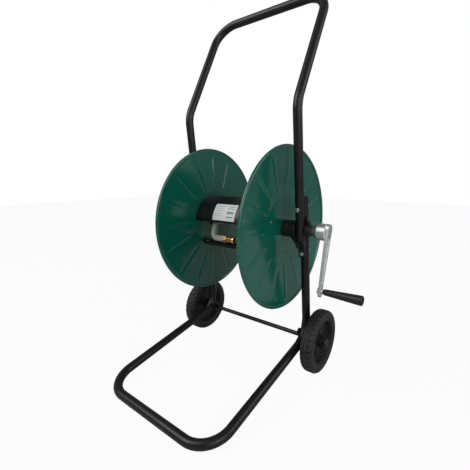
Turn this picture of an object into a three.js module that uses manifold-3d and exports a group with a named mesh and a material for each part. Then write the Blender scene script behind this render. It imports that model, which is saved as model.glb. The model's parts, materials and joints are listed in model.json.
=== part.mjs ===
// Two-wheeled steel hose reel cart: a bent-tube frame carries a hand-cranked drum between two dished
// flanges. Millimetres, +Z up, +Y towards the back, the crank on the +X side. The cart stands on its two
// wheels and on the front bar of its floor loop; the origin is at the middle of its footprint.
import * as THREE from 'three';
import { mergeVertices } from 'three/addons/utils/BufferGeometryUtils.js';
import Module from 'manifold-3d';

const wasm = await Module();
wasm.setup();

// ---------- driving dimensions ----------
const GAP = 0.3;                  // clearance between pieces that touch
const TUBE_R = 11;                // 22 mm frame tube
const TUBE_WALL = 1.5;
const TUBE_SIDES = 12;
const TRACK = 174;                // tube centre to the cart's middle plane
const LEAN = THREE.MathUtils.degToRad(6.4);   // uprights lean to the front going up

const REEL_HEIGHT = 394;          // reel axis above the floor
const UPPER_OFFSET = -10.9;       // upper tube's centre line from the reel axis, square to the tube
const LOWER_OFFSET = 13.7;        // lower tube's centre line from the reel axis
const UPPER_TUBE_END = -24;       // along the uprights, from the reel axis
const LOWER_TUBE_END = 79;
const HANDLE_BEND_RISE = 297;     // reel axis to the bend below the handle
const HANDLE_TOP = new THREE.Vector2(98.3, 964.5);    // centre of the handle bar (y, z)
const FRONT_BAR_Y = -350;
const REAR_CORNER_Z = 88.7;       // where the upright's and the leg's centre lines meet
const HANDLE_CORNER_R = 60;
const HANDLE_BEND_R = 70;
const FRONT_CORNER_R = 66;
const BOTTOM_BEND_R = 62;

const WHEEL_R = 85;
const WHEEL_W = 34;
const WHEEL_INNER_X = 194.6;
const AXLE_Y = 45.3;
const AXLE_R = 6;
const RIM_R = 60;
const TREAD_BLOCKS = 16;

const DISC_R = 210;               // reel flange
const SHEET = 1.5;
const DISC_FACE_X = 122.2;        // inner face of a flange at its centre
const DISC_DISH = 9.5;            // how far the rim stands outboard of the centre
const DISC_FLAT_R = 84;
const BEAD_R = 4;
const RIBS = 16;
const DRUM_R = 78;
const DRUM_PLATES = ['front', 'lower', 'rear'];
const PLATE_CENTRES = [140, -100, 20];    // degrees from +Y towards +Z
const PLATE_HALF = 34;
const SCREW_CIRCLE_R = 70;
const SCREW_SPREAD = 22;          // degrees to each side of a plate's centre
const SHAFT_R = 6;
const SLEEVE_R = 21.5;
const SLEEVE_END_X = 140.5;
const BEARING_R = 22;
const SPIGOT_R = 8;

const CRANK_TILT = THREE.MathUtils.degToRad(13.5);    // arm from straight down, towards the front
const CRANK_RADIUS = 140;
const CRANK_HUB_X = [203, 219, 240];
const CRANK_HUB_R = [12.5, 20.5];
const ARM_THICK = 7;
const ARM_END = 149;              // axis to the centre of the arm's round end, past the grip pin
const ARM_END_R = 5.5;
const GRIP_X = [251.5, 343];
const GRIP_R = [6.8, 11.4];
const PIN_R = 3;

const INLET_X = [-204, -236];     // swivel body, outside the frame
const LABEL_X = [-60, 16];
const LABEL_ARC = [134.5, 169.5];

// ---------- materials ----------
const paint = (color, roughness, metalness) => new THREE.MeshStandardMaterial(
  { color, roughness, metalness, flatShading: true });
const BLACK_TUBE = paint(0x17181a, 0.38, 0.2);
const BLACK_SHEET = paint(0x1b1c1e, 0.45, 0.2);
const GREEN_ENAMEL = paint(0x0b5a45, 0.22, 0.1);
const BLACK_PLASTIC = paint(0x1c1c1d, 0.55, 0);
const WHEEL_PLASTIC = paint(0x202022, 0.65, 0);
const TYRE_RUBBER = paint(0x1a1a1b, 0.85, 0);
const CAST_ALUMINIUM = paint(0xc9cccd, 0.35, 0.9);
const ZINC = paint(0xc4c6c4, 0.35, 1);
const STEEL = paint(0x9a9c9d, 0.35, 1);
const BRASS = paint(0xb8934a, 0.35, 1);
const PALE_HOSE = paint(0xd9dccf, 0.4, 0);
const PAPER = paint(0xf2f2ee, 0.6, 0);

// ---------- solids ----------
// Turns a closed geometry into a solid with its faces pointing out.
function solid(geometry) {
  const bare = geometry.clone();
  bare.deleteAttribute('normal');
  bare.deleteAttribute('uv');
  const merged = mergeVertices(bare, 1e-4);
  const position = merged.getAttribute('position');
  const index = merged.getIndex().array;
  const corner = [new THREE.Vector3(), new THREE.Vector3(), new THREE.Vector3()];
  const triangles = [];
  let volume = 0;
  for (let i = 0; i < index.length; i += 3) {
    const [a, b, c] = [index[i], index[i + 1], index[i + 2]];
    if (a === b || b === c || c === a) continue;
    triangles.push([a, b, c]);
    [a, b, c].forEach((vertex, k) => corner[k].fromBufferAttribute(position, vertex));
    volume += corner[0].dot(corner[1].clone().cross(corner[2])) / 6;
  }
  const facing = volume > 0 ? triangles : triangles.map(([a, b, c]) => [a, c, b]);
  return new wasm.Manifold(new wasm.Mesh({
    numProp: 3,
    vertProperties: new Float32Array(position.array),
    triVerts: new Uint32Array(facing.flat()),
  }));
}

const join = (first, ...others) => others.reduce((whole, piece) => whole.add(piece), first);
const cut = (body, ...tools) => tools.reduce((rest, tool) => rest.subtract(tool), body);

function geometryOf(body) {
  const { vertProperties, triVerts } = body.getMesh();
  const geometry = new THREE.BufferGeometry();
  geometry.setAttribute('position', new THREE.BufferAttribute(new Float32Array(vertProperties), 3));
  geometry.setIndex(new THREE.BufferAttribute(new Uint32Array(triVerts), 1));
  geometry.computeVertexNormals();
  return geometry;
}

// The same body on the cart's other side, or unchanged for side = 1.
const onSide = (body, side) => (side > 0 ? body : solid(geometryOf(body).scale(-1, 1, 1)));

const cart = new THREE.Group();
function add(name, body, material, group = cart) {
  const mesh = new THREE.Mesh(geometryOf(body), material);
  mesh.name = name;
  group.add(mesh);
  return mesh;
}

// A side-view outline, drawn as (y, z), extruded along X.
const SIDE_VIEW = new THREE.Matrix4().makeBasis(
  new THREE.Vector3(0, 1, 0), new THREE.Vector3(0, 0, 1), new THREE.Vector3(1, 0, 0));
function alongX(shape, x0, x1, curveSegments = 4) {
  const options = { depth: x1 - x0, bevelEnabled: false, curveSegments };
  return solid(new THREE.ExtrudeGeometry(shape, options).applyMatrix4(SIDE_VIEW).translate(x0, 0, 0));
}

// A body of revolution about X, from (x, radius) points in order round its half section.
const ABOUT_X = new THREE.Matrix4().makeBasis(
  new THREE.Vector3(0, 0, 1), new THREE.Vector3(1, 0, 0), new THREE.Vector3(0, 1, 0));
function turned(section, segments = 24) {
  const points = [...section, section[0]].map(([x, r]) => new THREE.Vector2(r, x));
  return solid(new THREE.LatheGeometry(points, segments).applyMatrix4(ABOUT_X));
}
const ring = (x0, x1, inner, outer, segments = 24) => turned(
  [[x0, inner], [x1, inner], [x1, outer], [x0, outer]], segments);

// A round rod from one point to another.
function rod(from, to, radius, segments = 12) {
  const axis = new THREE.Vector3().subVectors(to, from);
  const geometry = new THREE.CylinderGeometry(radius, radius, axis.length(), segments);
  const middle = new THREE.Vector3().addVectors(from, to).multiplyScalar(0.5);
  const turn = new THREE.Quaternion()
    .setFromUnitVectors(new THREE.Vector3(0, 1, 0), axis.clone().normalize());
  geometry.applyQuaternion(turn).translate(...middle);
  return solid(geometry);
}
const at = (x, y, z) => new THREE.Vector3(x, y, z);
const outline = (points) => new THREE.Shape(points.map(([y, z]) => new THREE.Vector2(y, z)));

// A front-view outline, given as (x, z) points, extruded along Y.
function alongY(points, y0, y1) {
  const shape = new THREE.Shape(points.map(([x, z]) => new THREE.Vector2(x, z)));
  const geometry = new THREE.ExtrudeGeometry(shape, { depth: y1 - y0, bevelEnabled: false });
  return solid(geometry.rotateX(Math.PI / 2).translate(0, y1, 0));
}

// A flat bar outline with a round end at each of two centres (y, z).
function barOutline(a, radiusA, b, radiusB) {
  const heading = Math.atan2(b.y - a.y, b.x - a.x);
  const shape = new THREE.Shape();
  shape.absarc(a.x, a.y, radiusA, heading + Math.PI / 2, heading + Math.PI * 1.5, false);
  shape.absarc(b.x, b.y, radiusB, heading - Math.PI / 2, heading + Math.PI / 2, false);
  shape.closePath();
  return shape;
}

// ---------- bent tubes ----------
// A centre line through its bend points, each with a radius, with its steps only where it bends.
class BentLine extends THREE.Curve {
  constructor(points, radii, stepAngle = Math.PI / 9) {
    super();
    this.stations = [];
    const last = points.length - 1;
    const heading = (i) => new THREE.Vector3().subVectors(points[i + 1], points[i]).normalize();
    this.stations.push({ point: points[0], tangent: heading(0) });
    for (let i = 1; i < last; i += 1) {
      const [before, after] = [heading(i - 1), heading(i)];
      const bend = before.angleTo(after);
      const reach = radii[i - 1] * Math.tan(bend / 2);
      const start = points[i].clone().addScaledVector(before, -reach);
      const inward = after.clone().addScaledVector(before, -after.dot(before)).normalize();
      const centre = start.clone().addScaledVector(inward, radii[i - 1]);
      const steps = Math.ceil(bend / stepAngle);
      for (let k = 0; k <= steps; k += 1) {
        const angle = bend * k / steps;
        const point = centre.clone().addScaledVector(inward, -radii[i - 1] * Math.cos(angle))
          .addScaledVector(before, radii[i - 1] * Math.sin(angle));
        const tangent = before.clone().multiplyScalar(Math.cos(angle))
          .addScaledVector(inward, Math.sin(angle));
        this.stations.push({ point, tangent });
      }
    }
    this.stations.push({ point: points[last], tangent: heading(last - 1) });
  }
  get steps() { return this.stations.length - 1; }
  getPoint(t) { return this.between(t, 'point'); }
  getPointAt(t) { return this.getPoint(t); }
  getTangentAt(t) { return this.between(t, 'tangent').normalize(); }
  between(t, what) {
    const place = Math.min(t, 1) * this.steps;
    const i = Math.min(Math.floor(place), this.steps - 1);
    return this.stations[i][what].clone().lerp(this.stations[i + 1][what], place - i);
  }
}

function bentTube(line, outer, inner, sides = TUBE_SIDES) {
  const section = new THREE.Shape().absarc(0, 0, outer, 0, Math.PI * 2, false);
  section.holes.push(new THREE.Path().absarc(0, 0, inner, 0, Math.PI * 2, true));
  const options = { steps: line.steps, extrudePath: line, curveSegments: sides / 2 };
  return solid(new THREE.ExtrudeGeometry(section, options));
}

// ---------- the frame ----------
// Pieces round the reel axis are drawn square to the leaning uprights and turned by LEAN.
const leaning = new THREE.Group();
leaning.position.z = REEL_HEIGHT;
leaning.rotation.x = LEAN;
cart.add(leaning);
const leaned = (body) => solid(geometryOf(body).rotateX(LEAN).translate(0, 0, REEL_HEIGHT));
const onUpright = (x, offset, along) => at(x, offset, along).applyEuler(new THREE.Euler(LEAN, 0, 0))
  .add(at(0, 0, REEL_HEIGHT));
const onUprightAtHeight = (x, offset, z) => {
  const foot = onUpright(x, offset, 0);
  return at(x, foot.y - (z - foot.z) * Math.tan(LEAN), z);
};

const BOLT_R = 3;
const UPPER_BOLT_ALONG = 55;
const LOWER_BOLT_ALONG = -62;
const boltHole = (x, along) => leaned(rod(at(x, -40, along), at(x, 45, along), BOLT_R + GAP, 10));
const spigotHole = leaned(rod(at(-250, 0, 0), at(250, 0, 0), SPIGOT_R + GAP, 20));

const handleLine = new BentLine([
  onUpright(-TRACK, UPPER_OFFSET, UPPER_TUBE_END),
  onUprightAtHeight(-TRACK, UPPER_OFFSET, REEL_HEIGHT + HANDLE_BEND_RISE),
  at(-TRACK, HANDLE_TOP.x, HANDLE_TOP.y),
  at(TRACK, HANDLE_TOP.x, HANDLE_TOP.y),
  onUprightAtHeight(TRACK, UPPER_OFFSET, REEL_HEIGHT + HANDLE_BEND_RISE),
  onUpright(TRACK, UPPER_OFFSET, UPPER_TUBE_END),
], [HANDLE_BEND_R, HANDLE_CORNER_R, HANDLE_CORNER_R, HANDLE_BEND_R]);
add('upper_handle', cut(
  bentTube(handleLine, TUBE_R, TUBE_R - TUBE_WALL), spigotHole,
  boltHole(-TRACK, UPPER_BOLT_ALONG), boltHole(TRACK, UPPER_BOLT_ALONG),
), BLACK_TUBE);

const rearCorner = onUprightAtHeight(TRACK, LOWER_OFFSET, REAR_CORNER_Z);
const frameLine = new BentLine([
  onUpright(-TRACK, LOWER_OFFSET, LOWER_TUBE_END),
  at(-TRACK, rearCorner.y, rearCorner.z),
  at(-TRACK, FRONT_BAR_Y, TUBE_R),
  at(TRACK, FRONT_BAR_Y, TUBE_R),
  at(TRACK, rearCorner.y, rearCorner.z),
  onUpright(TRACK, LOWER_OFFSET, LOWER_TUBE_END),
], [BOTTOM_BEND_R, FRONT_CORNER_R, FRONT_CORNER_R, BOTTOM_BEND_R]);
add('lower_frame', cut(
  bentTube(frameLine, TUBE_R, TUBE_R - TUBE_WALL), spigotHole,
  boltHole(-TRACK, UPPER_BOLT_ALONG), boltHole(TRACK, UPPER_BOLT_ALONG),
  boltHole(-TRACK, LOWER_BOLT_ALONG), boltHole(TRACK, LOWER_BOLT_ALONG),
), BLACK_TUBE);

// Pressed-in plug that closes the open top end of the lower tube.
const PLUG_CAP = 3;
const PLUG_DEPTH = 12;
for (const [name, side] of [['left', -1], ['right', 1]]) {
  const x = side * TRACK;
  const top = LOWER_TUBE_END + GAP;
  const cap = rod(at(x, LOWER_OFFSET, top), at(x, LOWER_OFFSET, top + PLUG_CAP), TUBE_R, 16);
  const stem = rod(at(x, LOWER_OFFSET, top - PLUG_DEPTH), at(x, LOWER_OFFSET, top + 1),
    TUBE_R - TUBE_WALL - 2 * GAP, 12);
  add(`tube_plug_${name}`, join(cap, stem), BLACK_PLASTIC, leaning);
}

// Bearing bracket: a round housing inboard of the tubes, a spigot that passes between them, and an
// ear below, through which the lower bolt clamps it to the front of the lower tube.
const HOUSING_X = [SLEEVE_END_X + 2 * GAP, TRACK - TUBE_R - 0.5];
const SPIGOT_END_X = TRACK + TUBE_R + 1.5;
const EAR_BACK = LOWER_OFFSET - TUBE_R - 0.5;
const EAR_FRONT = -4.6;
const EAR_SHOULDER = -14;
const EAR_X = [TRACK - 9.5, TRACK + 9];
const WEB_X = 148;
function bearingBracket() {
  const earTop = UPPER_TUBE_END - 2 * GAP;
  const ear = alongX(outline([
    [EAR_SHOULDER, earTop], [EAR_SHOULDER, earTop - 3], [EAR_FRONT, earTop - 24], [EAR_FRONT, -70],
    [EAR_FRONT + 3, -74], [EAR_BACK, -74], [EAR_BACK, earTop],
  ]), EAR_X[0], EAR_X[1]);
  const web = alongY([
    [WEB_X, -8], [HOUSING_X[1], -8], [HOUSING_X[1], earTop], [EAR_X[0] + 2, earTop],
    [EAR_X[0] + 2, earTop - 22], [EAR_X[0], earTop - 22], [EAR_X[0] - 5, earTop - 9], [WEB_X, -19],
  ], EAR_SHOULDER, EAR_BACK);
  const housing = rod(at(HOUSING_X[0], 0, 0), at(HOUSING_X[1], 0, 0), BEARING_R, 32);
  const spigot = rod(at(HOUSING_X[1] - 1, 0, 0), at(SPIGOT_END_X, 0, 0), SPIGOT_R, 20);
  const bore = rod(at(HOUSING_X[0] - 1, 0, 0), at(SPIGOT_END_X + 1, 0, 0), SHAFT_R + 0.4, 20);
  const hole = rod(at(TRACK, -30, LOWER_BOLT_ALONG), at(TRACK, 10, LOWER_BOLT_ALONG), BOLT_R + GAP, 10);
  return cut(join(housing, spigot, web, ear), bore, hole);
}

// Outer bearing cap: pushed on the spigot outside the tubes, with a gusset up the side of the tube.
const CAP_X = [TRACK + TUBE_R + 0.5, CRANK_HUB_X[0] - 0.6];
const CAP_R = [15.5, 15, 12.5];
const CAP_SHOULDER = 5;
function bearingCap() {
  const boss = turned([
    [CAP_X[0], 0], [CAP_X[0], CAP_R[0]], [CAP_X[1] - CAP_SHOULDER, CAP_R[1]], [CAP_X[1], CAP_R[2]],
    [CAP_X[1], 0],
  ]);
  const gusset = alongY([
    [CAP_X[0], 5], [CAP_X[0] + 11, 5], [CAP_X[0] + 11, 17], [CAP_X[0] + 3, 31], [CAP_X[0], 33],
  ], -2, 6);
  const seat = rod(at(CAP_X[0] - 1, 0, 0), at(SPIGOT_END_X + GAP, 0, 0), SPIGOT_R + GAP, 20);
  const bore = rod(at(CAP_X[0], 0, 0), at(CAP_X[1] + 1, 0, 0), SHAFT_R + 0.4, 20);
  return cut(join(boss, gusset), seat, bore);
}

// Hexagon bolts through both tubes, head to the front, nut behind.
const HEX_R = 5.8;
const HEAD_H = 4;
const NUT_Y = [LOWER_OFFSET + TUBE_R + GAP, LOWER_OFFSET + TUBE_R + GAP + 5];
function hexBolt(x, along, seatY) {
  const seat = seatY - GAP;
  const head = rod(at(x, seat - HEAD_H, along), at(x, seat, along), HEX_R, 6);
  const shank = rod(at(x, seat - 1, along), at(x, NUT_Y[1] + 2.5, along), BOLT_R, 10);
  return join(head, shank);
}
function hexNut(x, along) {
  const body = rod(at(x, NUT_Y[0], along), at(x, NUT_Y[1], along), HEX_R, 6);
  const hole = rod(at(x, NUT_Y[0] - 1, along), at(x, NUT_Y[1] + 1, along), BOLT_R + GAP, 10);
  return cut(body, hole);
}

const bracket = bearingBracket();
const bearingOuter = bearingCap();
for (const [name, side] of [['left', -1], ['right', 1]]) {
  const x = side * TRACK;
  add(`bearing_bracket_${name}`, onSide(bracket, side), BLACK_PLASTIC, leaning);
  add(`bearing_cap_${name}`, onSide(bearingOuter, side), BLACK_PLASTIC, leaning);
  add(`upper_bolt_${name}`, hexBolt(x, UPPER_BOLT_ALONG, UPPER_OFFSET - TUBE_R), ZINC, leaning);
  add(`lower_bolt_${name}`, hexBolt(x, LOWER_BOLT_ALONG, EAR_FRONT), ZINC, leaning);
  add(`upper_nut_${name}`, hexNut(x, UPPER_BOLT_ALONG), ZINC, leaning);
  add(`lower_nut_${name}`, hexNut(x, LOWER_BOLT_ALONG), ZINC, leaning);
}

// ---------- axle and wheels ----------
const axleCentre = new THREE.Vector2(AXLE_Y, WHEEL_R);
const LUG_X = [TRACK - TUBE_R - 4.9, TRACK - TUBE_R - 0.4];
const LUG_R = 12;
const SPACER_R = 9;
const AXLE_END_X = WHEEL_INNER_X + WHEEL_W + 5;
const CAP_END_X = AXLE_END_X + 4;
const rearArc = frameLine.stations.filter(({ point }) => point.x > TRACK - 1
  && point.z < REAR_CORNER_Z + BOTTOM_BEND_R && point.y > rearCorner.y - BOTTOM_BEND_R);
const bendMiddle = rearArc[Math.floor(rearArc.length / 2)].point;

const axleRod = rod(at(-AXLE_END_X, AXLE_Y, WHEEL_R), at(AXLE_END_X, AXLE_Y, WHEEL_R), AXLE_R, 16);
add('axle_rod', axleRod, BLACK_TUBE);

function axleLug() {
  const plate = alongX(barOutline(axleCentre, LUG_R, new THREE.Vector2(bendMiddle.y, bendMiddle.z), 10),
    LUG_X[0], LUG_X[1]);
  const hole = rod(at(LUG_X[0] - 1, AXLE_Y, WHEEL_R), at(LUG_X[1] + 1, AXLE_Y, WHEEL_R), AXLE_R + GAP, 16);
  return cut(plate, hole);
}

// Tyre section with rounded shoulders; the tread blocks are parted by slots in both shoulders.
const wheelX = (share) => WHEEL_INNER_X + WHEEL_W * share;
function tyre() {
  const inner = RIM_R + GAP / 2;
  const body = turned([
    [wheelX(0.06), inner], [wheelX(0.94), inner], [wheelX(0.99), 66], [wheelX(1), 73], [wheelX(0.95), 80],
    [wheelX(0.8), WHEEL_R], [wheelX(0.2), WHEEL_R], [wheelX(0.05), 80], [wheelX(0), 73], [wheelX(0.01), 66],
  ], 2 * TREAD_BLOCKS);
  const slot = new THREE.BoxGeometry(WHEEL_W * 0.34, 5, 10);
  const slots = [];
  for (let i = 0; i < TREAD_BLOCKS; i += 1) {
    for (const [share, stagger] of [[0.1, 0], [0.9, 0.5]]) {
      const angle = (i + stagger) * Math.PI * 2 / TREAD_BLOCKS;
      const placed = slot.clone().translate(0, 0, WHEEL_R).rotateX(angle);
      slots.push(solid(placed.translate(wheelX(share), 0, 0)));
    }
  }
  return cut(body, join(...slots));
}

// Moulded wheel centre: a rim, a web set in from the outer face, a hub and five ribs.
const HUB_R = 15;
const RECESS_OPEN_R = 56;         // the rim's recess at its face and at the web
const RECESS_WEB_R = 52;
const WEB_SHARE = [0.42, 0.55];
const WHEEL_RIBS = 5;
function wheelRim() {
  const bore = AXLE_R + 0.4;
  const body = turned([
    [wheelX(0), bore], [wheelX(1), bore], [wheelX(1), HUB_R], [wheelX(WEB_SHARE[1]), HUB_R],
    [wheelX(WEB_SHARE[1]), RECESS_WEB_R], [wheelX(0.9), RECESS_OPEN_R], [wheelX(0.9), RIM_R - GAP / 2],
    [wheelX(0.1), RIM_R - GAP / 2], [wheelX(0.1), RECESS_OPEN_R], [wheelX(WEB_SHARE[0]), RECESS_WEB_R],
    [wheelX(WEB_SHARE[0]), HUB_R], [wheelX(0), HUB_R],
  ], 20);
  const ribs = [];
  for (let i = 0; i < WHEEL_RIBS; i += 1) {
    const rib = new THREE.BoxGeometry(WHEEL_W * 0.35, 5, 40).translate(wheelX(0.62), 0, 33);
    ribs.push(solid(rib.rotateX(i * Math.PI * 2 / WHEEL_RIBS)));
  }
  return join(body, ...ribs);
}

const atAxle = (body) => solid(geometryOf(body).translate(0, AXLE_Y, WHEEL_R));
const lug = axleLug();
const spacer = atAxle(ring(LUG_X[1] + 0.4, WHEEL_INNER_X - 0.4, AXLE_R + GAP, SPACER_R, 20));
const tyreBody = atAxle(tyre());
const rimBody = atAxle(wheelRim());
const axleCap = atAxle(turned([
  [AXLE_END_X + GAP, 0], [AXLE_END_X + GAP, AXLE_R + GAP], [wheelX(1) + 0.4, AXLE_R + GAP],
  [wheelX(1) + 0.4, 12], [AXLE_END_X, 12], [CAP_END_X - 1, 9], [CAP_END_X, 4], [CAP_END_X, 0],
], 20));
for (const [name, side] of [['left', -1], ['right', 1]]) {
  add(`axle_lug_${name}`, onSide(lug, side), BLACK_TUBE);
  add(`axle_spacer_${name}`, onSide(spacer, side), BLACK_PLASTIC);
  add(`tyre_${name}`, onSide(tyreBody, side), TYRE_RUBBER);
  add(`wheel_rim_${name}`, onSide(rimBody, side), WHEEL_PLASTIC);
  add(`axle_cap_${name}`, onSide(axleCap, side), BLACK_PLASTIC);
}

// ---------- the reel ----------
const reel = new THREE.Group();
reel.position.z = REEL_HEIGHT;
cart.add(reel);
const degrees = THREE.MathUtils.degToRad;
const around = (radius, angle, x) => at(x, radius * Math.cos(angle), radius * Math.sin(angle));
const screwAngles = PLATE_CENTRES.flatMap((centre) => [degrees(centre - SCREW_SPREAD),
  degrees(centre + SCREW_SPREAD)]);
const SCREW_R = 2.5;

// Dished sheet flange with a rolled bead round its rim and pressed radial ribs.
function flange() {
  const rimX = DISC_FACE_X + DISC_DISH;
  const beadX = rimX + 1.5;
  const beadCentre = DISC_R - BEAD_R;
  const bead = [];
  for (let k = 0; k <= 6; k += 1) {
    const angle = degrees(-150 + k * 50);
    bead.push([beadX + BEAD_R * Math.sin(angle), beadCentre + BEAD_R * Math.cos(angle)]);
  }
  const neck = beadCentre - BEAD_R - 1;
  const sheet = turned([
    [DISC_FACE_X, SHAFT_R + GAP], [DISC_FACE_X, DISC_FLAT_R], [rimX, neck], ...bead,
    [rimX + SHEET, neck], [DISC_FACE_X + SHEET, DISC_FLAT_R], [DISC_FACE_X + SHEET, SHAFT_R + GAP],
  ], 2 * RIBS);
  const ribLine = [96, 192];
  const slope = Math.atan2(DISC_DISH, neck - DISC_FLAT_R);
  const section = new THREE.Shape([[-6, -0.4], [6, -0.4], [3, 2.2], [-3, 2.2]]
    .map(([y, x]) => new THREE.Vector2(y, x)));
  const rib = new THREE.ExtrudeGeometry(section, { depth: ribLine[1] - ribLine[0], bevelEnabled: false })
    .applyMatrix4(new THREE.Matrix4().makeBasis(at(0, -1, 0), at(1, 0, 0), at(0, 0, 1)))
    .translate(0, 0, ribLine[0] - DISC_FLAT_R).rotateY(slope)
    .translate(DISC_FACE_X + SHEET, 0, DISC_FLAT_R);
  const ribs = Array.from({ length: RIBS }, (_, i) => solid(
    rib.clone().rotateX((i + 0.5) * Math.PI * 2 / RIBS)));
  const holes = screwAngles.map((angle) => rod(around(SCREW_CIRCLE_R, angle, DISC_FACE_X - 1),
    around(SCREW_CIRCLE_R, angle, DISC_FACE_X + SHEET + 1), SCREW_R + GAP, 6));
  return cut(join(sheet, ...ribs), ...holes);
}
const flangeBody = flange();
add('flange_left', onSide(flangeBody, -1), GREEN_ENAMEL, reel);
add('flange_right', flangeBody, GREEN_ENAMEL, reel);

// Part of a ring, from one angle to another, as a side-view outline.
function sector(inner, outer, from, to) {
  const shape = new THREE.Shape();
  shape.absarc(0, 0, outer, from, to, false);
  shape.absarc(0, 0, inner, to, from, true);
  shape.closePath();
  return shape;
}

// Curved drum plate with a tab bent in at each end for its screws.
const PLATE_END_X = DISC_FACE_X - GAP;
function drumPlate(centre) {
  const [from, to] = [degrees(centre - PLATE_HALF), degrees(centre + PLATE_HALF)];
  const wrap = alongX(sector(DRUM_R - SHEET, DRUM_R, from, to), -PLATE_END_X, PLATE_END_X);
  const tab = sector(SCREW_CIRCLE_R - 9, DRUM_R - SHEET / 2, from + degrees(2), to - degrees(2));
  const angles = [degrees(centre - SCREW_SPREAD), degrees(centre + SCREW_SPREAD)];
  const holes = angles.map((angle) => rod(around(SCREW_CIRCLE_R, angle, -PLATE_END_X - 1),
    around(SCREW_CIRCLE_R, angle, PLATE_END_X + 1), SCREW_R + GAP, 6));
  return cut(join(wrap, alongX(tab, -PLATE_END_X, -PLATE_END_X + SHEET),
    alongX(tab, PLATE_END_X - SHEET, PLATE_END_X)), ...holes);
}
DRUM_PLATES.forEach((name, i) => {
  add(`drum_plate_${name}`, drumPlate(PLATE_CENTRES[i]), BLACK_SHEET, reel);
});

// Pan-head screws through the flange and the plate's tab.
const SCREW_HEAD = 2.2;
const SCREW_HEAD_R = 4.2;
for (const [sideName, side] of [['left', -1], ['right', 1]]) {
  screwAngles.forEach((angle, i) => {
    const head = rod(around(SCREW_CIRCLE_R, angle, DISC_FACE_X + SHEET + GAP),
      around(SCREW_CIRCLE_R, angle, DISC_FACE_X + SHEET + GAP + SCREW_HEAD), SCREW_HEAD_R, 8);
    const shank = rod(around(SCREW_CIRCLE_R, angle, PLATE_END_X - 8),
      around(SCREW_CIRCLE_R, angle, DISC_FACE_X + SHEET + 1), SCREW_R, 6);
    add(`drum_screw_${sideName}_${i + 1}`, onSide(join(head, shank), side), ZINC, reel);
  });
}

// Blank rating label on the front drum plate.
add('label_plate', alongX(sector(DRUM_R + GAP, DRUM_R + 2 * GAP, degrees(LABEL_ARC[0]),
  degrees(LABEL_ARC[1])), LABEL_X[0], LABEL_X[1]), PAPER, reel);

// Sleeves between the flanges and the bearings.
const sleeve = ring(DISC_FACE_X + SHEET + GAP, SLEEVE_END_X, SHAFT_R + GAP, SLEEVE_R, 28);
add('hub_sleeve_left', onSide(sleeve, -1), BLACK_PLASTIC, reel);
add('hub_sleeve_right', sleeve, BLACK_PLASTIC, reel);

// Crank shaft: a collar inside the right flange, then a plain shaft out to the crank hub.
const COLLAR_R = 16;
const COLLAR_X = [114, DISC_FACE_X - GAP];
add('crank_shaft', turned([
  [COLLAR_X[0], 0], [COLLAR_X[0], COLLAR_R], [COLLAR_X[1], COLLAR_R], [COLLAR_X[1], SHAFT_R],
  [CRANK_HUB_X[2] - 4, SHAFT_R], [CRANK_HUB_X[2] - 4, 0],
], 16), STEEL, reel);

// Hollow brass inlet spindle on the left, which carries the reel and feeds the hose.
const SPINDLE_BORE = 3.8;
const SPINDLE_END_X = INLET_X[1] + 12;
const HOSE_SEAT_X = -104;
add('inlet_spindle', turned([
  [SPINDLE_END_X, SPINDLE_BORE], [SPINDLE_END_X, SHAFT_R], [-COLLAR_X[1], SHAFT_R],
  [-COLLAR_X[1], COLLAR_R], [-COLLAR_X[0], COLLAR_R], [-COLLAR_X[0], SHAFT_R], [HOSE_SEAT_X + 12, SHAFT_R],
  [HOSE_SEAT_X + 12, SPINDLE_BORE],
], 16), BRASS, reel);

// Short pale hose from the spindle to the hose connector in the gap between two drum plates.
const OUTLET = new THREE.Vector2(-53, -41);
const HOSE_END_X = -38;
const HOSE_R = 8.5;
const innerHose = new BentLine([
  at(HOSE_SEAT_X, 0, 0), at(-78, 0, 0), at(-80, -41, 4), at(-80, OUTLET.x, OUTLET.y),
  at(HOSE_END_X, OUTLET.x, OUTLET.y),
], [14, 14, 14], Math.PI / 8);
add('inner_hose', bentTube(innerHose, HOSE_R, SHAFT_R + 2 * GAP, 10), PALE_HOSE, reel);

// Brass hose connector: a barbed tail in the inner hose, a hexagon and an open outlet.
const CONNECTOR_BORE = 4;
const connectorBody = join(
  turned([[HOSE_END_X - 14, CONNECTOR_BORE], [HOSE_END_X + 0.6, CONNECTOR_BORE],
    [HOSE_END_X + 0.6, SHAFT_R], [HOSE_END_X - 14, SHAFT_R]], 12),
  ring(HOSE_END_X + 0.4, HOSE_END_X + 12, CONNECTOR_BORE, 10.5, 12),
  ring(HOSE_END_X + 11.8, HOSE_END_X + 32, CONNECTOR_BORE, 8.8, 12),
  ring(HOSE_END_X + 30, HOSE_END_X + 38, CONNECTOR_BORE, 9.8, 12),
);
add('hose_connector', solid(geometryOf(connectorBody).translate(0, OUTLET.x, OUTLET.y)), BRASS, reel);

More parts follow.
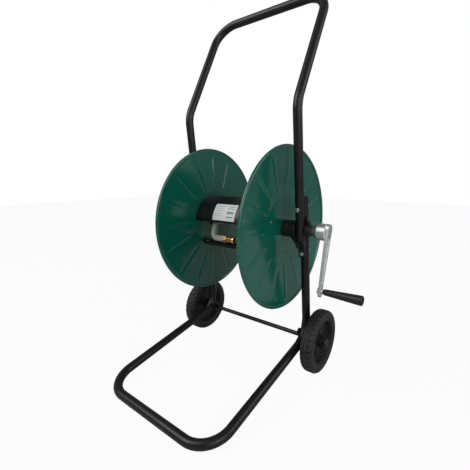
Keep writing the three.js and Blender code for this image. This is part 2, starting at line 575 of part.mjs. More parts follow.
// ---------- the crank ----------
const armDirection = new THREE.Vector2(-Math.sin(CRANK_TILT), -Math.cos(CRANK_TILT));
const pinCentre = armDirection.clone().multiplyScalar(CRANK_RADIUS);
const pinned = (body) => solid(geometryOf(body).translate(0, pinCentre.x, pinCentre.y));
const armX = [CRANK_HUB_X[2] - 0.5, CRANK_HUB_X[2] + ARM_THICK];
const SET_SCREW_X = 226;
function crankArm() {
  const hub = turned([
    [CRANK_HUB_X[0], SHAFT_R + 0.25], [CRANK_HUB_X[0], CRANK_HUB_R[0]], [CRANK_HUB_X[1], CRANK_HUB_R[1]],
    [CRANK_HUB_X[2], CRANK_HUB_R[1]], [CRANK_HUB_X[2], SHAFT_R + 0.25],
  ], 28);
  const alongArm = (distance) => armDirection.clone().multiplyScalar(distance);
  const bar = alongX(barOutline(alongArm(-8), 12.5, alongArm(ARM_END), ARM_END_R), armX[0], armX[1]);
  const channel = alongX(barOutline(alongArm(16), 8, alongArm(CRANK_RADIUS - 20), 3.4),
    armX[1] - 3, armX[1] + 1);
  const pinHole = rod(at(armX[0] - 1, pinCentre.x, pinCentre.y), at(armX[1] + 1, pinCentre.x, pinCentre.y),
    PIN_R + GAP, 12);
  const screwHole = rod(at(SET_SCREW_X, 0, 0), at(SET_SCREW_X, 0, 30), 2.8, 10);
  return cut(join(hub, bar), channel, pinHole, screwHole);
}
add('crank_arm', crankArm(), CAST_ALUMINIUM, reel);
add('set_screw', rod(at(SET_SCREW_X, 0, SHAFT_R + GAP), at(SET_SCREW_X, 0, CRANK_HUB_R[1] + 3), 2.5, 10),
  ZINC, reel);

// Grip pin: a head behind the arm, a shoulder beside the grip and a riveted head in the grip's end.
const RECESS_R = 7.4;
const RECESS_X = GRIP_X[1] - 7;
add('grip_pin', pinned(turned([
  [armX[0] - 4, 0], [armX[0] - 4, 7], [armX[0] - GAP, 7], [armX[0] - GAP, PIN_R], [armX[1] + GAP, PIN_R],
  [armX[1] + GAP, 6], [GRIP_X[0] - GAP, 6], [GRIP_X[0] - GAP, PIN_R], [RECESS_X + GAP, PIN_R],
  [RECESS_X + GAP, 6.6], [RECESS_X + 3, 6.6], [RECESS_X + 4, 4], [RECESS_X + 4, 0],
], 16)), ZINC, reel);
const grip = pinned(turned([
  [GRIP_X[0], PIN_R + GAP], [RECESS_X, PIN_R + GAP], [RECESS_X, RECESS_R], [GRIP_X[1], RECESS_R],
  [GRIP_X[1], GRIP_R[1] - 1.2], [GRIP_X[1] - 1.5, GRIP_R[1]], [GRIP_X[0] + 3, GRIP_R[0] + 0.4],
  [GRIP_X[0], GRIP_R[0] - 0.8],
], 24));
add('crank_grip', grip, BLACK_PLASTIC, reel);

// ---------- the inlet swivel ----------
// The body turns on the end of the spindle; its outlet hangs down to a threaded tap connector.
const SWIVEL_R = 13;
const OUTLET_LENGTH = 36;
const swivelMiddle = INLET_X[1] + 11;
function inletSwivel() {
  const body = rod(at(INLET_X[1], 0, 0), at(INLET_X[0], 0, 0), SWIVEL_R, 24);
  const branch = rod(at(swivelMiddle, 0, 0), at(swivelMiddle, 0, -OUTLET_LENGTH), 9, 20);
  const seat = rod(at(SPINDLE_END_X - GAP, 0, 0), at(INLET_X[0] + 1, 0, 0), SHAFT_R + 0.35, 20);
  const chamber = rod(at(INLET_X[1] + 3, 0, 0), at(SPINDLE_END_X, 0, 0), 5, 16);
  const waterway = rod(at(swivelMiddle, 0, 0), at(swivelMiddle, 0, -OUTLET_LENGTH - 1), 4.5, 16);
  return cut(join(body, branch), seat, chamber, waterway);
}
add('inlet_swivel', inletSwivel(), BRASS, reel);

const TAP_END = OUTLET_LENGTH + 26;
function tapConnector() {
  const from = (z) => at(swivelMiddle, 0, -z);
  const collar = rod(from(OUTLET_LENGTH + GAP), from(OUTLET_LENGTH + 10), 12.5, 8);
  const nose = rod(from(OUTLET_LENGTH + 9), from(TAP_END), 8.5, 20);
  const bore = rod(from(OUTLET_LENGTH), from(TAP_END + 1), 4.5, 16);
  return cut(join(collar, nose), bore);
}
add('tap_connector', tapConnector(), BLACK_PLASTIC, reel);

// ---------- the cart on its footprint ----------
const box = new THREE.Box3().setFromObject(cart);
cart.position.set(-(box.min.x + box.max.x) / 2, -(box.min.y + box.max.y) / 2, -box.min.z);

export default cart;
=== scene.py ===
# A two-wheeled steel hose reel cart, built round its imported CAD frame. Metres, +Z up, +X towards the crank,
# +Y to the back. Places are written in millimetres from the middle of the reel axis, and turned to metres
# once, in the mesh helpers.
import json
import math

import bmesh
import bpy
from mathutils import Matrix, Vector


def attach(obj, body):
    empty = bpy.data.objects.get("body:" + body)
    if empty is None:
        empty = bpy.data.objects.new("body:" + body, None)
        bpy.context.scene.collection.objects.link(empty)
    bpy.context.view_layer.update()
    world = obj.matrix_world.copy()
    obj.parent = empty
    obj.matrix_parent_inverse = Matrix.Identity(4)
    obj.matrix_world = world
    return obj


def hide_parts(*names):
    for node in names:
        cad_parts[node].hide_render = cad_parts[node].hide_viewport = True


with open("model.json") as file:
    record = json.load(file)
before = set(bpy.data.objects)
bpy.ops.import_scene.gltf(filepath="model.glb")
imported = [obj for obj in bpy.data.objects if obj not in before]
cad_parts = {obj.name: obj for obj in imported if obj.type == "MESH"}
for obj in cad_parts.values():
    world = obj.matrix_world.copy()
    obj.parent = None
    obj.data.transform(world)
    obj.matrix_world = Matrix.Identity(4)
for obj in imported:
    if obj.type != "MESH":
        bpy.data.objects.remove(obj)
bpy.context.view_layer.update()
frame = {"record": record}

MM = 0.001
JOINTS = {joint["name"]: joint for joint in frame["record"]["behaviour"]["joints"]}
REEL = Vector(JOINTS["reel_spin"]["pos_m"])
SIDES = {"left": -1, "right": 1}


def joint_place(name):
    """A joint's position, in millimetres from the middle of the reel axis."""
    return (Vector(JOINTS[name]["pos_m"]) - REEL) / MM


# ---------- sizes, as in the CAD model ----------
GAP = 0.3                                         # clearance between pieces that touch
TUBE_R = 11
TUBE_WALL = 1.5
TRACK = 174
LEAN = math.radians(6.4)
UPPER_OFFSET, UPPER_END = -10.9, -24
LOWER_OFFSET, LOWER_END = 13.7, 79
REEL_HEIGHT = REEL.z / MM
HANDLE_BEND_Z = 297
HANDLE_TOP = (98.3, 964.5 - REEL_HEIGHT)
HANDLE_RADII = (70, 60, 60, 70)
FRONT_BAR = (-350, TUBE_R - REEL_HEIGHT)
REAR_CORNER_Z = 88.7 - REEL_HEIGHT
FRAME_RADII = (62, 66, 66, 62)
SHAFT_R = 6
SPIGOT_R = 8
BOLT_R = 3
UPPER_BOLT, LOWER_BOLT = 55, -62

AXLE = joint_place("wheel_right_spin")
WHEEL_R = 85
WHEEL_X = (194.6, 228.6)
RIM_R = 60

DISC_R = 210
SHEET = 1.5
DISC_X = 122.2
DISC_DISH = 9.5
DISC_FLAT_R = 84
BEAD_R = 4
RIBS = 16
DRUM_R = 78
PLATES = {"front": 140, "lower": -100, "rear": 20}
PLATE_HALF = 34
SCREW_CIRCLE_R = 70
SCREW_SPREAD = 22

CRANK_TILT = math.radians(13.5)
CRANK_RADIUS = 140
HUB_END_X = 240
ARM_X = (239.5, 247)
GRIP_X = (251.5, 343)


# ---------- materials ----------
def finish(name, colour, roughness, metallic=0.0, coat=0.0, grain=900, bump=0.05, tint=0.12,
           depth=0.0002, wear=0.0, cloud=18, coat_roughness=0.08, specular=0.5):
    """A paint, plastic or metal: cloudy tint, uneven gloss, a fine surface grain and paler worn edges."""
    gloss_spread = 0.1
    material = bpy.data.materials.new(name)
    material.use_nodes = True
    nodes, links = material.node_tree.nodes, material.node_tree.links
    shader = nodes["Principled BSDF"]
    shader.inputs["Metallic"].default_value = metallic
    shader.inputs["Coat Weight"].default_value = coat
    shader.inputs["Coat Roughness"].default_value = coat_roughness
    shader.inputs["Specular IOR Level"].default_value = specular
    place = nodes.new("ShaderNodeTexCoord").outputs["Object"]

    def noise(scale, detail):
        node = nodes.new("ShaderNodeTexNoise")
        node.inputs["Scale"].default_value = scale
        node.inputs["Detail"].default_value = detail
        links.new(place, node.inputs["Vector"])
        return node.outputs["Fac"]

    def spread(source, low, high):
        node = nodes.new("ShaderNodeMapRange")
        node.inputs["From Min"].default_value = 0.3
        node.inputs["From Max"].default_value = 0.7
        node.inputs["To Min"].default_value = low
        node.inputs["To Max"].default_value = high
        links.new(source, node.inputs["Value"])
        return node.outputs["Result"]

    clouds = noise(cloud, 4)
    mix = nodes.new("ShaderNodeMix")
    mix.data_type = "RGBA"
    mix.inputs["A"].default_value = (*[c * (1 - tint) for c in colour], 1)
    mix.inputs["B"].default_value = (*[min(1, c * (1 + tint)) for c in colour], 1)
    links.new(clouds, mix.inputs["Factor"])
    base = mix.outputs["Result"]
    if wear:
        edge = nodes.new("ShaderNodeNewGeometry").outputs["Pointiness"]
        ramp = nodes.new("ShaderNodeMapRange")
        ramp.inputs["From Min"].default_value = 0.52
        ramp.inputs["From Max"].default_value = 0.62
        ramp.inputs["To Max"].default_value = wear
        links.new(edge, ramp.inputs["Value"])
        worn = nodes.new("ShaderNodeMix")
        worn.data_type = "RGBA"
        worn.inputs["B"].default_value = (*[min(1, c * 2.2 + 0.03) for c in colour], 1)
        links.new(ramp.outputs["Result"], worn.inputs["Factor"])
        links.new(base, worn.inputs["A"])
        base = worn.outputs["Result"]
    links.new(base, shader.inputs["Base Color"])
    uneven = spread(noise(cloud * 2.5, 3), roughness * (1 - gloss_spread), roughness * (1 + gloss_spread))
    links.new(uneven, shader.inputs["Roughness"])
    relief = nodes.new("ShaderNodeBump")
    relief.inputs["Strength"].default_value = bump
    relief.inputs["Distance"].default_value = depth
    links.new(noise(grain, 2), relief.inputs["Height"])
    links.new(relief.outputs["Normal"], shader.inputs["Normal"])
    return material


FINISHES = {
    "black_tube": finish("black_powder_coat", (0.0058, 0.0056, 0.0058), 0.34, grain=700, bump=0.12,
                         tint=0.2, specular=0.32),
    "black_sheet": finish("black_sheet_paint", (0.0045, 0.0045, 0.005), 0.3, grain=500, bump=0.08,
                          specular=0.35),
    "green_enamel": finish("green_enamel", (0.0012, 0.09, 0.059), 0.2, coat=0.3, grain=120, bump=0.03,
                           depth=0.0005, coat_roughness=0.06, cloud=9, specular=0.45),
    "black_plastic": finish("black_moulded_plastic", (0.0075, 0.0072, 0.008), 0.45, grain=1400, bump=0.15,
                            wear=0.2, specular=0.4),
    "wheel_plastic": finish("black_wheel_plastic", (0.007, 0.007, 0.0072), 0.5, grain=1100, bump=0.18,
                            wear=0.2, specular=0.3),
    "tyre_rubber": finish("black_tyre_rubber", (0.013, 0.0125, 0.014), 0.58, grain=1300, bump=0.35,
                          tint=0.25, wear=0.25, specular=0.4),
    "cast_aluminium": finish("cast_aluminium", (0.62, 0.65, 0.635), 0.4, metallic=1.0, grain=650, bump=0.2,
                             tint=0.07, wear=0.1),
    "zinc": finish("zinc_plate", (0.62, 0.62, 0.6), 0.34, metallic=1, grain=1500, bump=0.08, tint=0.08),
    "dull_zinc": finish("dull_zinc_plate", (0.2, 0.25, 0.23), 0.42, metallic=1, grain=1500, bump=0.08,
                        tint=0.08),
    "steel": finish("bright_steel_bar", (0.42, 0.42, 0.43), 0.32, metallic=1, bump=0.08, tint=0.1),
    "brass": finish("turned_brass", (0.70, 0.47, 0.18), 0.3, metallic=1, grain=1200, bump=0.06, tint=0.1),
    "pale_hose": finish("pale_pvc_hose", (0.4, 0.43, 0.37), 0.3, coat=0.3, grain=400, bump=0.05, tint=0.05),
    "paper": finish("label_paper", (0.62, 0.65, 0.64), 0.5, grain=2500, bump=0.05, tint=0.02),
    "ink": finish("label_ink", (0.2, 0.21, 0.23), 0.5, grain=2500, bump=0.05, tint=0.05),
    "pale_ink": finish("label_pale_ink", (0.45, 0.47, 0.48), 0.5, grain=2500, bump=0.05, tint=0.05),
}


# ---------- mesh helpers ----------
WELD = 1e-7                                       # metres between points that count as one


class Shell:
    """A closed mesh as a list of points, in millimetres from the reel axis, and a list of faces."""

    def __init__(self, points, faces):
        self.points = [Vector(p) for p in points]
        self.faces = faces

    def moved(self, matrix):
        return Shell([matrix @ p for p in self.points], self.faces)

    def on_side(self, side):
        return Shell([Vector((p.x * side, p.y, p.z)) for p in self.points], self.faces)


LEANING = Matrix.Rotation(LEAN, 4, "X")


def shifted(x=0, y=0, z=0):
    return Matrix.Translation((x, y, z))


def to_object(name, shells):
    """An object of one or more closed shells, with every face pointing out."""
    mesh = bpy.data.meshes.new(name)
    points, faces = [], []
    for shell in shells:
        start = len(points)
        points += [REEL + p * MM for p in shell.points]
        faces += [[start + i for i in face] for face in shell.faces]
    mesh.from_pydata(points, [], faces)
    form = bmesh.new()
    form.from_mesh(mesh)
    bmesh.ops.remove_doubles(form, verts=form.verts, dist=WELD)
    bmesh.ops.recalc_face_normals(form, faces=form.faces)
    form.to_mesh(mesh)
    form.free()
    obj = bpy.data.objects.new(name, mesh)
    bpy.context.scene.collection.objects.link(obj)
    return obj


def settle(obj):
    """Applies every modifier to the object's mesh."""
    bpy.context.view_layer.update()
    evaluated = obj.evaluated_get(bpy.context.evaluated_depsgraph_get())
    mesh = bpy.data.meshes.new_from_object(evaluated)
    obj.modifiers.clear()
    old = obj.data
    obj.data = mesh
    bpy.data.meshes.remove(old)


def combine(obj, shells, operation="DIFFERENCE"):
    """Cuts shells that don't touch each other from the object, or joins them to it."""
    tool = to_object("tool", shells)
    step = obj.modifiers.new("combine", "BOOLEAN")
    step.operation = operation
    step.solver = "MANIFOLD"
    step.object = tool
    settle(obj)
    bpy.data.objects.remove(tool)


def joined(name, shells):
    """One object from shells that overlap."""
    obj = to_object(name, shells[:1])
    for shell in shells[1:]:
        combine(obj, [shell], "UNION")
    return obj


def soften(obj, voxel, rounds):
    """Fuses the mesh on a fine grid and rounds its edges, as a casting's are."""
    fuse = obj.modifiers.new("fuse", "REMESH")
    fuse.mode = "VOXEL"
    fuse.voxel_size = voxel * MM
    smooth = obj.modifiers.new("smooth", "SMOOTH")
    smooth.factor = 0.5
    smooth.iterations = rounds
    settle(obj)


def bevelled(obj, width, segments=2, angle=30):
    bevel = obj.modifiers.new("bevel", "BEVEL")
    bevel.width = width * MM
    bevel.segments = segments
    bevel.limit_method = "ANGLE"
    bevel.angle_limit = math.radians(angle)
    settle(obj)


SHARP = math.radians(40)                          # edges sharper than this aren't shaded smooth


def finished(obj, slot, body, *nodes, look=None):
    """Shades the piece, gives it its finish and its body, and lets it stand for its CAD nodes."""
    mesh = obj.data
    mesh.materials.clear()
    mesh.materials.append(FINISHES[look or slot])
    mesh.shade_smooth()
    mesh.set_sharp_from_angle(angle=SHARP)
    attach(obj, body)
    if nodes:
        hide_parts(*nodes)


ON_AXIS = 1e-6                                    # millimetres: nearer than this is on the axis
NEARLY_STRAIGHT = math.radians(86)                # half the angle at a corner that needs no rounding


def rounded(section, radius, steps):
    """A half section with its corners rounded; corners on the axis stay sharp."""
    points = [Vector(p) for p in section]
    result = []
    for i, corner in enumerate(points):
        to_before, to_after = points[i - 1] - corner, points[(i + 1) % len(points)] - corner
        shortest = min(to_before.length, to_after.length)
        if corner.y < ON_AXIS or shortest < ON_AXIS:
            result.append(corner)
            continue
        half = to_before.angle(to_after) / 2
        if half > NEARLY_STRAIGHT:
            result.append(corner)
            continue
        reach = min(radius / math.tan(half), 0.45 * shortest)
        to_before.normalize()
        to_after.normalize()
        arc_r = reach * math.tan(half)
        middle = corner + (to_before + to_after).normalized() * arc_r / math.sin(half)
        first, last = corner + to_before * reach - middle, corner + to_after * reach - middle
        turn = first.angle_signed(last)
        for k in range(steps + 1):
            result.append(middle + Matrix.Rotation(-turn * k / steps, 2) @ first)
    return result


def turned(section, segments=64, radius=0.6, steps=3):
    """A body of revolution about X, from (x, radius) points round its half section, corners rounded."""
    outline = rounded(section, radius, steps) if radius else [Vector(p) for p in section]
    points, faces = [], []
    count = len(outline)
    for k in range(segments):
        angle = 2 * math.pi * k / segments
        points += [(p.x, p.y * math.cos(angle), p.y * math.sin(angle)) for p in outline]
    for k in range(segments):
        this, following = k * count, (k + 1) % segments * count
        for i in range(count):
            j = (i + 1) % count
            if outline[i].y > ON_AXIS or outline[j].y > ON_AXIS:
                faces.append([this + i, this + j, following + j, following + i])
    return Shell(points, faces)


def ring(x0, x1, inner, outer, segments=64, radius=0.6):
    return turned([(x0, inner), (x1, inner), (x1, outer), (x0, outer)], segments, radius)


def rod(x0, x1, r, segments=48, radius=0.6):
    return turned([(x0, 0), (x0, r), (x1, r), (x1, 0)], segments, radius)


def extruded(outline, x0, x1):
    """A side-view outline of (y, z) points, extruded along X."""
    count = len(outline)
    points = [(x, y, z) for x in (x0, x1) for y, z in outline]
    faces = [list(range(count))[::-1], list(range(count, 2 * count))]
    faces += [[i, (i + 1) % count, count + (i + 1) % count, count + i] for i in range(count)]
    return Shell(points, faces)


def bar_outline(a, radius_a, b, radius_b, steps=16):
    """A flat bar's outline, with a round end at each of two centres."""
    heading = math.atan2(b[1] - a[1], b[0] - a[0])
    quarter = math.pi / 2
    points = []
    for centre, radius, start in ((a, radius_a, heading + quarter), (b, radius_b, heading - quarter)):
        for k in range(steps + 1):
            angle = start + math.pi * k / steps
            points.append((centre[0] + radius * math.cos(angle), centre[1] + radius * math.sin(angle)))
    return points


def bent_line(corners, radii, step=math.radians(5)):
    """Points and directions along a line that bends at its corners, with steps only in the bends."""
    corners = [Vector(c) for c in corners]
    line = [(corners[0], (corners[1] - corners[0]).normalized())]
    for i in range(1, len(corners) - 1):
        before = (corners[i] - corners[i - 1]).normalized()
        after = (corners[i + 1] - corners[i]).normalized()
        bend = before.angle(after)
        radius = radii[i - 1]
        start = corners[i] - before * radius * math.tan(bend / 2)
        inward = (after - before * after.dot(before)).normalized()
        centre = start + inward * radius
        steps = max(2, math.ceil(bend / step))
        for k in range(steps + 1):
            angle = bend * k / steps
            point = centre - inward * radius * math.cos(angle) + before * radius * math.sin(angle)
            line.append((point, before * math.cos(angle) + inward * math.sin(angle)))
    line.append((corners[-1], (corners[-1] - corners[-2]).normalized()))
    return line


def swept(line, outer, inner, sides=32):
    """A tube with a wall, open at both ends, along a bent line."""
    side = line[0][1].orthogonal().normalized()
    points, faces = [], []
    for point, along in line:
        side = (side - along * side.dot(along)).normalized()
        across = along.cross(side)
        for r in (outer, inner):
            for k in range(sides):
                angle = 2 * math.pi * k / sides
                points.append(point + (side * math.cos(angle) + across * math.sin(angle)) * r)
    rows = len(line)
    per_row = 2 * sides
    for row in range(rows - 1):
        for wall in (0, sides):
            for k in range(sides):
                a, b = row * per_row + wall + k, row * per_row + wall + (k + 1) % sides
                faces.append([a, b, b + per_row, a + per_row])
    for row in (0, rows - 1):
        for k in range(sides):
            a, b = row * per_row + k, row * per_row + (k + 1) % sides
            faces.append([a, b, b + sides, a + sides])
    return Shell(points, faces)


TURN_Y = Matrix.Rotation(math.pi / 2, 4, "Z")     # a body turned about X, laid along Y
TURN_UP = Matrix.Rotation(-math.pi / 2, 4, "Y")   # laid along +Z
TURN_DOWN = Matrix.Rotation(math.pi / 2, 4, "Y")  # laid along -Z


def hexagon(x0, x1, across, chamfer=1.0):
    """A hexagon bar along X, with the corners of its x1 end chamfered."""
    segments = 96
    apothem = across / 2
    flat_r = apothem * 0.95
    points, faces = [], []
    for k in range(segments):
        angle = 2 * math.pi * k / segments
        corner = (angle % (math.pi / 3)) - math.pi / 6
        r = apothem / math.cos(corner)
        drop = max(0.0, r - flat_r) * math.tan(math.radians(30)) * chamfer
        for x, radius in ((x0, 0), (x0, r), (x1 - drop, r), (x1, flat_r), (x1, 0)):
            points.append((x, radius * math.cos(angle), radius * math.sin(angle)))
    for k in range(segments):
        a, b = 5 * k, 5 * ((k + 1) % segments)
        faces += [[a + i, a + i + 1, b + i + 1, b + i] for i in range(4)]
    return Shell(points, faces)


def threaded(x0, x1, r, pitch=1.0, depth=0.35):
    """A rod whose length carries thread-like grooves."""
    plain = 0.5
    section = [(x0, 0), (x0, r - depth)]
    for k in range(int((x1 - x0) / pitch) - 1):
        start = x0 + plain + k * pitch
        section += [(start, r - depth), (start + pitch / 2, r)]
    section += [(x1, r - depth), (x1, 0)]
    return turned(section, 32, 0)


# ---------- camera, light and floor ----------
CAMERA_PLACE = (533.6, -710.4, 138.4)             # from the middle of the reel axis
CAMERA_YAW, CAMERA_PITCH = math.radians(37.2), math.radians(-10.8)
CAMERA_SENSOR, CAMERA_LENS = 36, 24.32
CAMERA_SHIFT = (-0.0213, -0.0019)
FLOOR_HALF = 6
FLOOR_GREY = 0.5
FLOOR_GLOW = 0.95                                 # share of white in the floor that the camera sees
SURROUNDINGS = 0.24                               # strength of the white light from all round
LIGHTS_AIM = Vector((0, 0, 0.4))


def camera():
    """The camera, at the height and angle from which the cart is shown."""
    obj = bpy.data.objects.new("camera", bpy.data.cameras.new("camera"))
    bpy.context.scene.collection.objects.link(obj)
    obj.location = REEL + Vector(CAMERA_PLACE) * MM
    level = math.cos(CAMERA_PITCH)
    view = Vector((-math.sin(CAMERA_YAW) * level, math.cos(CAMERA_YAW) * level, math.sin(CAMERA_PITCH)))
    obj.rotation_euler = view.to_track_quat("-Z", "Y").to_euler()
    obj.data.sensor_width = CAMERA_SENSOR
    obj.data.lens = CAMERA_LENS
    obj.data.shift_x, obj.data.shift_y = CAMERA_SHIFT
    bpy.context.scene.camera = obj


def paper_floor():
    """A pale paper floor, grey to the cart's reflections and nearly white to the camera."""
    mesh = bpy.data.meshes.new("floor")
    corners = [(x * FLOOR_HALF, y * FLOOR_HALF, 0) for x, y in ((-1, -1), (1, -1), (1, 1), (-1, 1))]
    mesh.from_pydata(corners, [], [[0, 1, 2, 3]])
    floor = bpy.data.objects.new("floor", mesh)
    bpy.context.scene.collection.objects.link(floor)
    paper = bpy.data.materials.new("floor_paper")
    paper.use_nodes = True
    nodes, links = paper.node_tree.nodes, paper.node_tree.links
    sheet = nodes["Principled BSDF"]
    sheet.inputs["Base Color"].default_value = (FLOOR_GREY, FLOOR_GREY, FLOOR_GREY, 1)
    sheet.inputs["Roughness"].default_value = 0.85
    glow = nodes.new("ShaderNodeEmission")
    share = nodes.new("ShaderNodeMath")
    share.operation = "MULTIPLY"
    share.inputs[1].default_value = FLOOR_GLOW
    links.new(nodes.new("ShaderNodeLightPath").outputs["Is Camera Ray"], share.inputs[0])
    mixed = nodes.new("ShaderNodeMixShader")
    links.new(share.outputs["Value"], mixed.inputs["Fac"])
    links.new(sheet.outputs["BSDF"], mixed.inputs[1])
    links.new(glow.outputs["Emission"], mixed.inputs[2])
    links.new(mixed.outputs["Shader"], nodes["Material Output"].inputs["Surface"])
    mesh.materials.append(paper)


def surroundings():
    """Soft white light from all round, which the camera sees as plain white."""
    bpy.context.scene.view_settings.view_transform = "Standard"
    world = bpy.data.worlds.new("studio")
    bpy.context.scene.world = world
    world.use_nodes = True
    nodes, links = world.node_tree.nodes, world.node_tree.links
    lit, seen = nodes["Background"], nodes.new("ShaderNodeBackground")
    for light, strength in ((lit, SURROUNDINGS), (seen, 1.0)):
        light.inputs["Color"].default_value = (1, 1, 1, 1)
        light.inputs["Strength"].default_value = strength
    pick = nodes.new("ShaderNodeMixShader")
    links.new(nodes.new("ShaderNodeLightPath").outputs["Is Camera Ray"], pick.inputs["Fac"])
    links.new(lit.outputs["Background"], pick.inputs[1])
    links.new(seen.outputs["Background"], pick.inputs[2])
    links.new(pick.outputs["Shader"], nodes["World Output"].inputs["Surface"])


def softbox(name, place, width, height, power):
    light = bpy.data.objects.new(name, bpy.data.lights.new(name, "AREA"))
    light.data.energy = power
    light.data.shape = "RECTANGLE"
    light.data.size, light.data.size_y = width, height
    light.location = place
    light.rotation_euler = (LIGHTS_AIM - Vector(place)).to_track_quat("-Z", "Y").to_euler()
    bpy.context.scene.collection.objects.link(light)


camera()
paper_floor()
surroundings()
softbox("key", (-1.4, -2.0, 2.4), 2.2, 2.2, 66)
softbox("fill", (2.6, -1.4, 1.6), 2.0, 2.0, 38)
softbox("back", (3.0, 1.2, 2.0), 2.2, 2.0, 32)


# ---------- the tube frame ----------
def on_upright(x, offset, along):
    return LEANING @ Vector((x, offset, along))


def on_upright_at(x, offset, z):
    foot = on_upright(x, offset, 0)
    return Vector((x, foot.y - (z - foot.z) * math.tan(LEAN), z))


def bolt_hole(x, along):
    return rod(-42, 46, BOLT_R + GAP, 24, 0).moved(LEANING @ shifted(x, 0, along) @ TURN_Y)


SPIGOT_HOLE = rod(-250, 250, SPIGOT_R + GAP, 40, 0).moved(LEANING)


def tube_piece(name, corners, radii, bolts):
    obj = to_object(name, [swept(bent_line(corners, radii), TUBE_R, TUBE_R - TUBE_WALL)])
    holes = [bolt_hole(side * TRACK, along) for side in SIDES.values() for along in bolts]
    combine(obj, [SPIGOT_HOLE, *holes])
    finished(obj, "black_tube", "cart_frame", name)


tube_piece("upper_handle", [
    on_upright(-TRACK, UPPER_OFFSET, UPPER_END),
    on_upright_at(-TRACK, UPPER_OFFSET, HANDLE_BEND_Z),
    (-TRACK, *HANDLE_TOP), (TRACK, *HANDLE_TOP),
    on_upright_at(TRACK, UPPER_OFFSET, HANDLE_BEND_Z),
    on_upright(TRACK, UPPER_OFFSET, UPPER_END),
], HANDLE_RADII, [UPPER_BOLT])

rear_corner = on_upright_at(TRACK, LOWER_OFFSET, REAR_CORNER_Z)
tube_piece("lower_frame", [
    on_upright(-TRACK, LOWER_OFFSET, LOWER_END),
    (-TRACK, rear_corner.y, rear_corner.z),
    (-TRACK, *FRONT_BAR), (TRACK, *FRONT_BAR),
    (TRACK, rear_corner.y, rear_corner.z),
    on_upright(TRACK, LOWER_OFFSET, LOWER_END),
], FRAME_RADII, [UPPER_BOLT, LOWER_BOLT])

# ---------- the reel flanges ----------
RIB_FROM, RIB_TO = 92, 194
RIB_HALF_WIDTH = 7.5
RIB_EDGE = 6.5
RIB_FADE = 16
RIB_HEIGHT = 1.0


def smoothstep(value, low, high):
    share = min(1, max(0, (value - low) / (high - low)))
    return share * share * (3 - 2 * share)


def rib_rise(r, angle):
    """How far the pressed ribs lift the sheet outboard."""
    pitch = 2 * math.pi / RIBS
    away = abs((angle + pitch / 2) % pitch - pitch / 2)
    across = r * math.sin(away)
    if across > RIB_HALF_WIDTH:
        return 0
    ends = smoothstep(r, RIB_FROM, RIB_FROM + RIB_FADE) * (1 - smoothstep(r, RIB_TO - RIB_FADE, RIB_TO))
    return RIB_HEIGHT * ends * (1 - smoothstep(across, RIB_HALF_WIDTH - RIB_EDGE, RIB_HALF_WIDTH))


def flange_shell():
    neck = DISC_R - 2 * BEAD_R - 0.5
    rim_x = DISC_X + DISC_DISH

    def sheet_x(r):
        cone = DISC_DISH * max(0, r - DISC_FLAT_R) / (neck - DISC_FLAT_R)
        return DISC_X + cone

    radii = [SHAFT_R + GAP, 14, 24, 36, 48, 60, 70, 78, 81, DISC_FLAT_R, 87, 90]
    radii += [RIB_FROM + 2 * k for k in range(9)] + [RIB_FROM + RIB_FADE + 7 * k for k in range(1, 10)]
    radii += [RIB_TO - RIB_FADE + 2 * k for k in range(9)] + [neck - 3, neck]
    radii = sorted(set(radii))
    profile = [(sheet_x(r), r) for r in radii]
    bead = Vector((rim_x + 1.6, DISC_R - BEAD_R))
    bead_steps, bead_turn = 16, 158
    for k in range(1, bead_steps):
        angle = math.radians(bead_turn * (2 * k / bead_steps - 1))
        profile.append((bead.x + BEAD_R * math.sin(angle), bead.y + BEAD_R * math.cos(angle)))
    profile += [(sheet_x(r) + SHEET, r) for r in reversed(radii)]

    pitch = 2 * math.pi / RIBS
    dense = [math.radians(0.5 * k) for k in range(-10, 11)]
    sparse = [math.radians(a) for a in (6, 8, 11.25, 14.5, 16.5)]
    angles = [i * pitch + a for i in range(RIBS) for a in dense + sparse]
    points, faces = [], []
    count = len(profile)
    for angle in angles:
        for x, r in profile:
            points.append((x + rib_rise(r, angle), r * math.cos(angle), r * math.sin(angle)))
    for k in range(len(angles)):
        a, b = k * count, (k + 1) % len(angles) * count
        faces += [[a + i, a + (i + 1) % count, b + (i + 1) % count, b + i] for i in range(count)]
    return Shell(points, faces)


flange = flange_shell()
for name, side in SIDES.items():
    piece = to_object(f"flange_{name}", [flange.on_side(side)])
    finished(piece, "green_enamel", "reel", f"flange_{name}")


# ---------- the drum ----------
def polar(radius, degrees):
    return radius * math.cos(math.radians(degrees)), radius * math.sin(math.radians(degrees))


def sector(inner, outer, start, stop, steps=28):
    angles = [start + (stop - start) * k / steps for k in range(steps + 1)]
    return [polar(outer, a) for a in angles] + [polar(inner, a) for a in reversed(angles)]


PLATE_END = DISC_X - GAP
SCREW_R, SCREW_HEAD_R, SCREW_HEAD = 2.5, 4.2, 2.2
SCREW_ANGLES = [centre + turn for centre in PLATES.values() for turn in (-SCREW_SPREAD, SCREW_SPREAD)]


def drum_plate(name, centre):
    """A curved plate with a tab bent in at each end for its screws."""
    start, stop = centre - PLATE_HALF, centre + PLATE_HALF
    wrap = extruded(sector(DRUM_R - SHEET, DRUM_R, start, stop), -PLATE_END, PLATE_END)
    plate = to_object(name, [wrap])
    tab = sector(SCREW_CIRCLE_R - 9, DRUM_R - SHEET / 2, start + 2, stop - 2)
    tabs = [extruded(tab, x, x + SHEET) for x in (-PLATE_END, PLATE_END - SHEET)]
    combine(plate, tabs, "UNION")
    holes = []
    for angle in (centre - SCREW_SPREAD, centre + SCREW_SPREAD):
        y, z = polar(SCREW_CIRCLE_R, angle)
        holes.append(rod(-PLATE_END - 2, PLATE_END + 2, SCREW_R + GAP, 20, 0).moved(shifted(0, y, z)))
    combine(plate, holes)
    bevelled(plate, 0.4, 2, 50)
    finished(plate, "black_sheet", "reel", name)


